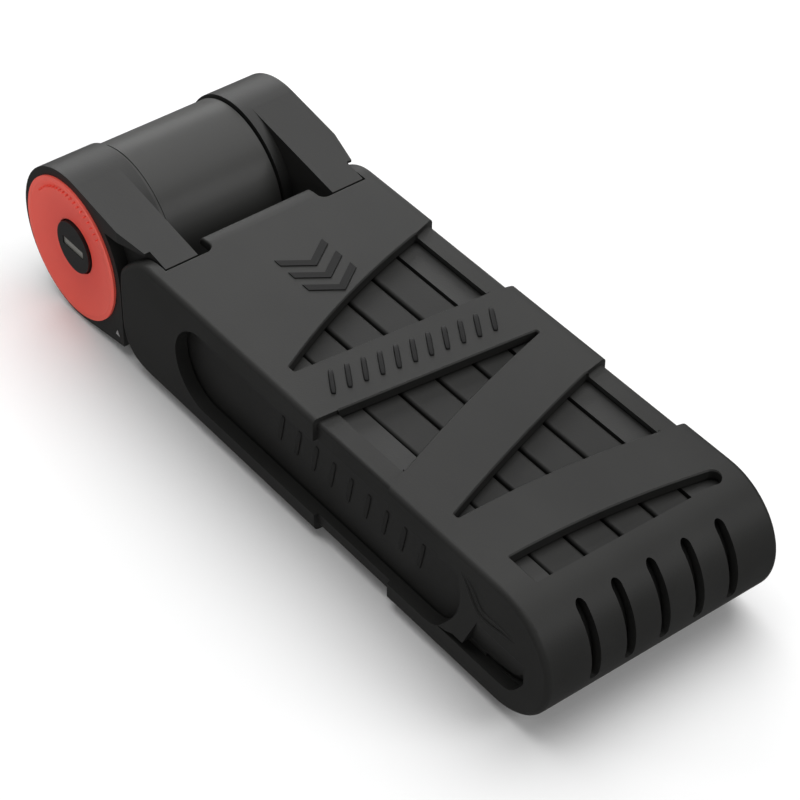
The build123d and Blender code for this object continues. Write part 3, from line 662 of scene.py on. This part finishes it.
class LOCK_OT_key_plug(bpy.types.Operator):
    """Finish the key plug, its shutter and the discs inside"""

    bl_idname = "folding_lock.key_plug"
    bl_label = "Key plug"

    def execute(self, context):
        dress(satin_coat("plug_coat", (0.012, 0.012, 0.012), 0.42), "key_plug")
        dress(ground_steel("shutter_steel", (0.9, 0.88, 0.82), 0.45, along=(0.05, 1, 1)), "keyway_shutter")
        dress(ground_steel("disc_brass", (0.7, 0.52, 0.22), 0.3), "disc_tumblers", "disc_spacers")
        return {"FINISHED"}


class LOCK_OT_stage(bpy.types.Operator):
    """Floor, lamps, world and camera"""

    bl_idname = "folding_lock.stage"
    bl_label = "Stage"

    def execute(self, context):
        settings = context.scene.folding_lock_stage
        self.floor(settings)
        self.lamps(settings)
        self.world(context, settings)
        self.camera(context, settings)
        context.scene.view_settings.view_transform = "Standard"
        return {"FINISHED"}

    def floor(self, settings):
        """Pale flat card, left out of reflections so that dark upright faces stay dark."""
        bpy.ops.mesh.primitive_plane_add(size=settings.floor_size, location=(0, 0, 0))
        card = bpy.context.object
        card.name = "floor_card"
        card.visible_glossy = False
        card.data.materials.append(studio_paper("floor_paper", settings.floor_colour))

    def lamps(self, settings):
        """Wide lamp above, strip past the barrel, fill at the closed end and two small edge lamps.

        Each line gives a name, a place and a size in metres, and a share of the lamp power.
        """
        middle = Vector((0, 0, CASE_MID_Z))
        for name, place, size, share in (
                ("overhead", (-0.15, 0.2, 1.15), (1.5, 1.3), 1.0),
                ("barrel_strip", (-0.95, 0.5, 0.4), (0.8, 0.4), 0.28),
                ("end_fill", (0.85, 0.5, 0.65), (0.5, 0.4), 0.22),
                ("rim_glint", (0.6, -0.75, 0.35), (0.16, 0.16), 0.04),
                ("rail_glint", (-0.6, -0.7, 0.5), (0.2, 0.2), 0.04)):
            lamp = bpy.data.lights.new(name, "AREA")
            lamp.shape = "RECTANGLE"
            lamp.size, lamp.size_y = size
            lamp.energy = share * settings.lamp_power
            holder = bpy.data.objects.new(name, lamp)
            holder.location = place
            holder.rotation_euler = (middle - Vector(place)).to_track_quat("-Z", "Y").to_euler()
            bpy.context.scene.collection.objects.link(holder)

    def world(self, context, settings):
        world = bpy.data.worlds.new("studio")
        world.use_nodes = True
        back = world.node_tree.nodes["Background"]
        back.inputs["Color"].default_value = (1, 1, 1, 1)
        back.inputs["Strength"].default_value = settings.surround
        context.scene.world = world

    def camera(self, context, settings):
        lens = bpy.data.cameras.new("camera")
        lens.lens = settings.lens
        lens.sensor_width = 36.0
        lens.clip_start = 0.01
        eye = bpy.data.objects.new("camera", lens)
        turn = Matrix.Rotation(settings.azimuth, 4, "Z")
        tilt = Matrix.Rotation(math.radians(90) - settings.elevation, 4, "X")
        roll = Matrix.Rotation(settings.roll, 4, "Z")
        eye.matrix_world = Matrix.Translation(settings.position) @ turn @ tilt @ roll
        context.scene.collection.objects.link(eye)
        context.scene.camera = eye


class LOCK_PT_panel(bpy.types.Panel):
    """Lists the steps and the settings"""

    bl_idname = "LOCK_PT_panel"
    bl_label = "Folding Lock"
    bl_space_type = "VIEW_3D"
    bl_region_type = "UI"
    bl_category = "Folding Lock"

    def draw(self, context):
        for operator in STEPS:
            self.layout.operator(operator.bl_idname)
        for group in ("folding_lock_case", "folding_lock_lock", "folding_lock_stage"):
            settings = getattr(context.scene, group)
            for name in settings.__annotations__:
                self.layout.prop(settings, name)


STEPS = (LOCK_OT_case, LOCK_OT_case_trim, LOCK_OT_links, LOCK_OT_head, LOCK_OT_key_plug, LOCK_OT_stage)
CLASSES = (CaseSettings, LockSettings, StageSettings, *STEPS, LOCK_PT_panel)


def register():
    for cls in CLASSES:
        bpy.utils.register_class(cls)
    bpy.types.Scene.folding_lock_case = PointerProperty(type=CaseSettings)
    bpy.types.Scene.folding_lock_lock = PointerProperty(type=LockSettings)
    bpy.types.Scene.folding_lock_stage = PointerProperty(type=StageSettings)


def unregister():
    del bpy.types.Scene.folding_lock_stage
    del bpy.types.Scene.folding_lock_lock
    del bpy.types.Scene.folding_lock_case
    for cls in reversed(CLASSES):
        bpy.utils.unregister_class(cls)


def main():
    """Runs every step in order."""
    register()
    for operator in STEPS:
        _, step = operator.bl_idname.split(".")
        getattr(bpy.ops.folding_lock, step)()


if __name__ == "__main__":
    main()
